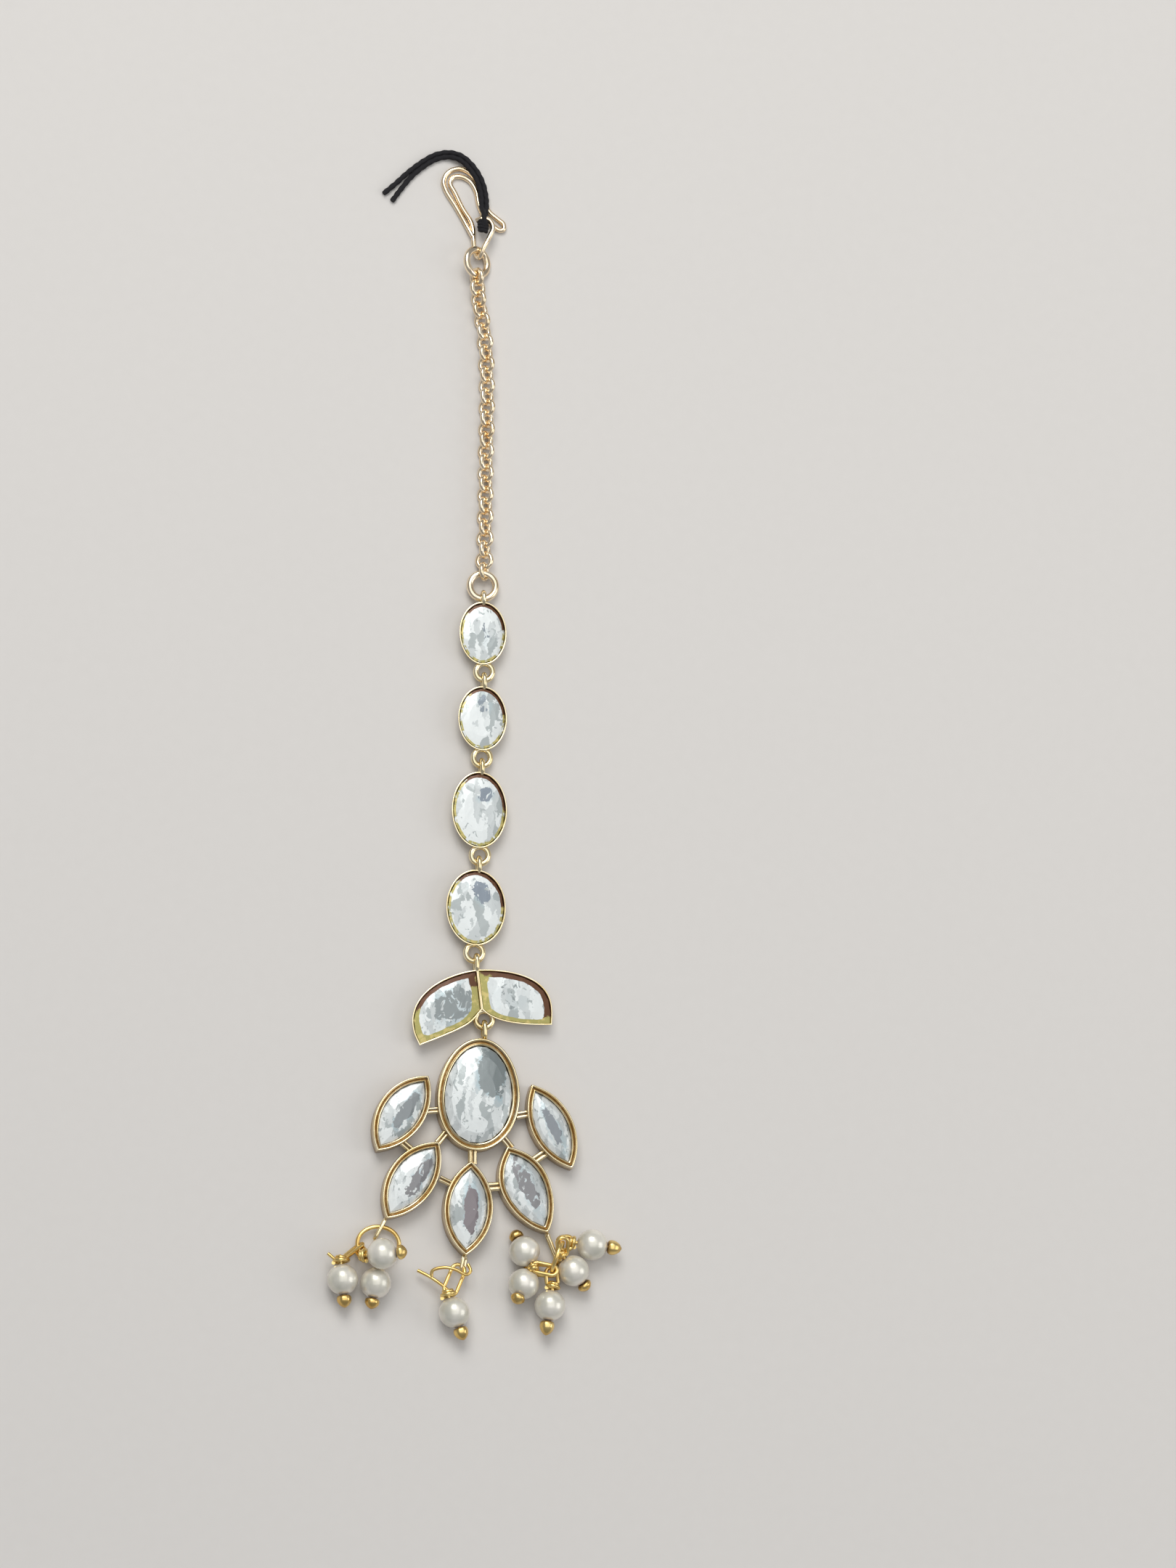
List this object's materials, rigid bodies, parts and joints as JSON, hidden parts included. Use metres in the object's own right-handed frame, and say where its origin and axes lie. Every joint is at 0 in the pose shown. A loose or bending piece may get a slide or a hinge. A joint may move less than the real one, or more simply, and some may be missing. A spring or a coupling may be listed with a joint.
{
  "type": "forehead pendant",
  "caption": "Hair jewel lying flat: wire hook with thread, fine chain, linked oval stones, a pair of leaf stones and a fan of petal stones with pearl drops.",
  "frame": {"origin": "middle of the jewel's outline without the thread, on the surface that it lies on", "axes": "+Y along the jewel towards the hook, +X to the right with the stones facing the viewer, +Z from the back towards the stones' faces"},
  "size_m": [0.0384, 0.1592, 0.0063],
  "materials": {
    "gold_plated_metal": "polished, pale gold plate",
    "brass_wire": "bright yellow brass",
    "foiled_glass": "faceted clear glass with a silver foil back",
    "pearl_coat": "ivory pearl lustre",
    "black_thread": "twisted matt thread"
  },
  "bodies": {
    "root": {"hook": "gold_plated_metal", "hook_ring": "gold_plated_metal", "chain": "gold_plated_metal", "chain_ring": "gold_plated_metal", "oval_setting_1": "gold_plated_metal", "oval_setting_2": "gold_plated_metal", "oval_setting_3": "gold_plated_metal", "oval_setting_4": "gold_plated_metal", "leaf_setting": "gold_plated_metal", "fan_setting": "gold_plated_metal", "left_drop_ring": "brass_wire", "right_drop_ring": "brass_wire", "pearl_pin_1": "brass_wire", "pearl_pin_2": "brass_wire", "pearl_pin_3": "brass_wire", "pearl_pin_4": "brass_wire", "pearl_pin_5": "brass_wire", "pearl_pin_6": "brass_wire", "pearl_pin_7": "brass_wire", "pearl_pin_8": "brass_wire", "pearl_pin_9": "brass_wire", "oval_stone_1": "foiled_glass", "oval_stone_2": "foiled_glass", "oval_stone_3": "foiled_glass", "oval_stone_4": "foiled_glass", "leaf_stone_left": "foiled_glass", "leaf_stone_right": "foiled_glass", "fan_oval_stone": "foiled_glass", "petal_stone_1": "foiled_glass", "petal_stone_2": "foiled_glass", "petal_stone_3": "foiled_glass", "petal_stone_4": "foiled_glass", "petal_stone_5": "foiled_glass", "pearl_1": "pearl_coat", "pearl_2": "pearl_coat", "pearl_3": "pearl_coat", "pearl_4": "pearl_coat", "pearl_5": "pearl_coat", "pearl_6": "pearl_coat", "pearl_7": "pearl_coat", "pearl_8": "pearl_coat", "pearl_9": "pearl_coat", "hair_thread": "black_thread", "thread_knot": "black_thread"}
  },
  "joints": []
}
